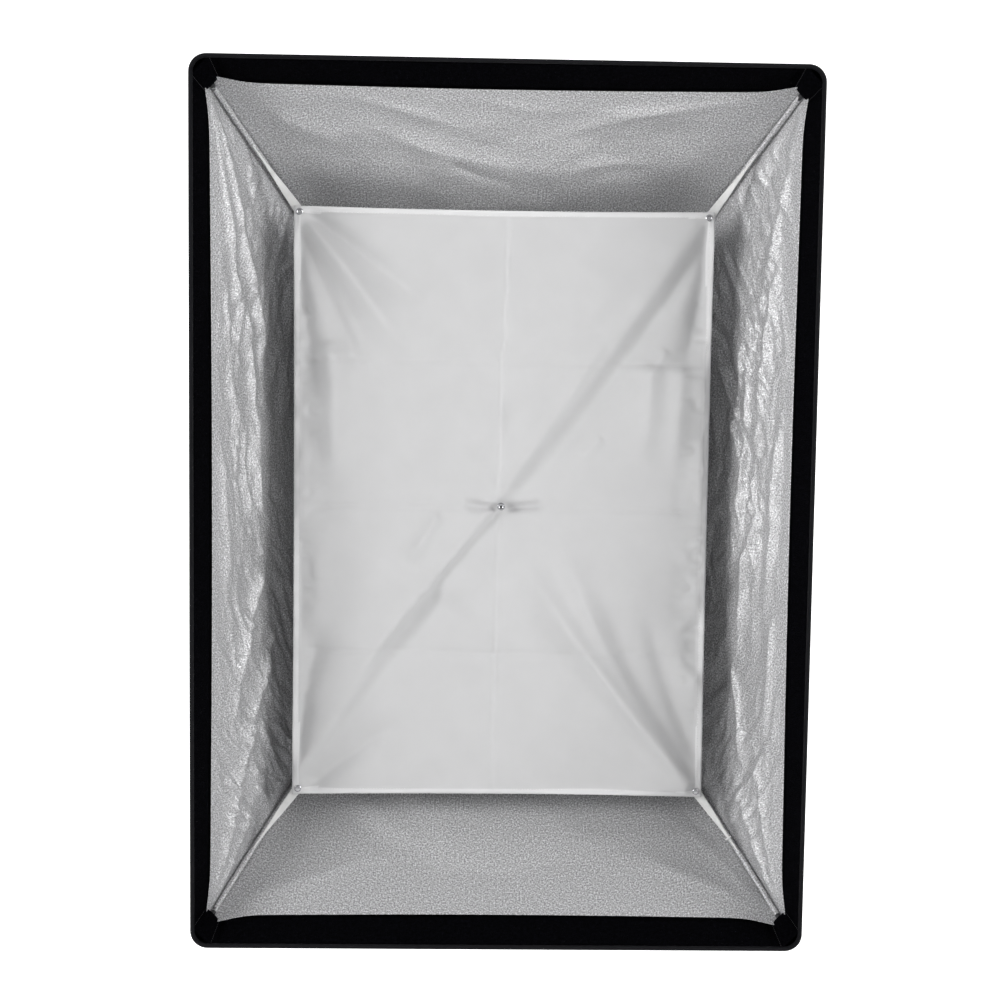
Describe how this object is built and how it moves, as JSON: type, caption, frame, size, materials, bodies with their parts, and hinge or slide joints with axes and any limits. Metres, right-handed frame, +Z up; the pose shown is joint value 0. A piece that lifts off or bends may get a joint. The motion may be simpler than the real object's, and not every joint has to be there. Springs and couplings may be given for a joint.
{
  "type": "strip softbox",
  "caption": "Rectangular folding softbox with a silver lining, an inner baffle held by straps, spring rods, a hook-taped lip and a speedring with a bayonet insert.",
  "frame": {"origin": "centre of the bayonet insert's rear seat plane, on the lamp's axis", "axes": "+Y along the lamp's axis towards the lamp, so the open front faces -Y; +Z up along the long side; +X to the right seen from the front"},
  "size_m": [0.7, 0.46, 1],
  "materials": {
    "black_nylon": "coated nylon, matt with a faint sheen",
    "black_binding": "ribbed grosgrain tape",
    "silver_lining": "pebbled metallised fabric, crinkled",
    "hook_tape": "hook tape, matt",
    "diffusion_white": "fine translucent diffusion cloth, matt",
    "white_tape": "woven tape, matt",
    "spring_steel": "drawn spring steel, satin",
    "cast_aluminium": "cast and turned, satin",
    "chrome": "nickel plated, bright",
    "black_plastic": "moulded, fine texture"
  },
  "bodies": {
    "mount_insert": {"bayonet_insert": "cast_aluminium"},
    "softbox": {"shell_top": "black_nylon", "lining_top": "silver_lining", "lip_top": "black_nylon", "hook_tape_top": "hook_tape", "shell_bottom": "black_nylon", "lining_bottom": "silver_lining", "lip_bottom": "black_nylon", "hook_tape_bottom": "hook_tape", "shell_left": "black_nylon", "lining_left": "silver_lining", "lip_left": "black_nylon", "hook_tape_left": "hook_tape", "shell_right": "black_nylon", "lining_right": "silver_lining", "lip_right": "black_nylon", "hook_tape_right": "hook_tape", "lip_corner_top_right": "black_nylon", "corner_pocket_top_right": "black_nylon", "rod_top_right": "spring_steel", "rod_cap_top_right": "black_plastic", "baffle_strap_top_right": "white_tape", "lip_corner_top_left": "black_nylon", "corner_pocket_top_left": "black_nylon", "rod_top_left": "spring_steel", "rod_cap_top_left": "black_plastic", "baffle_strap_top_left": "white_tape", "lip_corner_bottom_left": "black_nylon", "corner_pocket_bottom_left": "black_nylon", "rod_bottom_left": "spring_steel", "rod_cap_bottom_left": "black_plastic", "baffle_strap_bottom_left": "white_tape", "lip_corner_bottom_right": "black_nylon", "corner_pocket_bottom_right": "black_nylon", "rod_bottom_right": "spring_steel", "rod_cap_bottom_right": "black_plastic", "baffle_strap_bottom_right": "white_tape", "speedring": "cast_aluminium", "retaining_clip_1": "spring_steel", "clip_screw_1": "chrome", "retaining_clip_2": "spring_steel", "clip_screw_2": "chrome", "retaining_clip_3": "spring_steel", "clip_screw_3": "chrome", "front_binding": "black_binding", "collar_top": "black_nylon", "collar_bottom": "black_nylon"},
    "inner_baffle": {"inner_baffle": "diffusion_white", "centre_stud": "chrome", "baffle_snap_top_right": "chrome", "baffle_snap_top_left": "chrome", "baffle_snap_bottom_left": "chrome", "baffle_snap_bottom_right": "chrome"},
    "lock_knob": {"lock_knob": "black_plastic"},
    "access_flap_left": {"access_flap_left": "black_nylon"},
    "access_flap_right": {"access_flap_right": "black_nylon"}
  },
  "joints": [
    {"name": "ring_rotation", "type": "hinge", "parent": "mount_insert", "child": "softbox", "pos_m": [0, 0, 0], "axis": [0, 1, 0], "continuous": true},
    {"name": "baffle_lift_off", "type": "slide", "parent": "softbox", "child": "inner_baffle", "axis": [0, -1, 0], "range_m": [0, 0.35]},
    {"name": "lock_knob_turn", "type": "hinge", "parent": "softbox", "child": "lock_knob", "pos_m": [0, -0.008, -0.08], "axis": [0, 0, 1], "range_deg": [0, 720]},
    {"name": "access_flap_left_fold", "type": "hinge", "parent": "softbox", "child": "access_flap_left", "pos_m": [-0.0832, -0.0216, 0], "axis": [0, 0, 1], "range_deg": [0, 110]},
    {"name": "access_flap_right_fold", "type": "hinge", "parent": "softbox", "child": "access_flap_right", "pos_m": [0.0832, -0.0216, 0], "axis": [0, 0, 1], "range_deg": [-110, 0]}
  ]
}
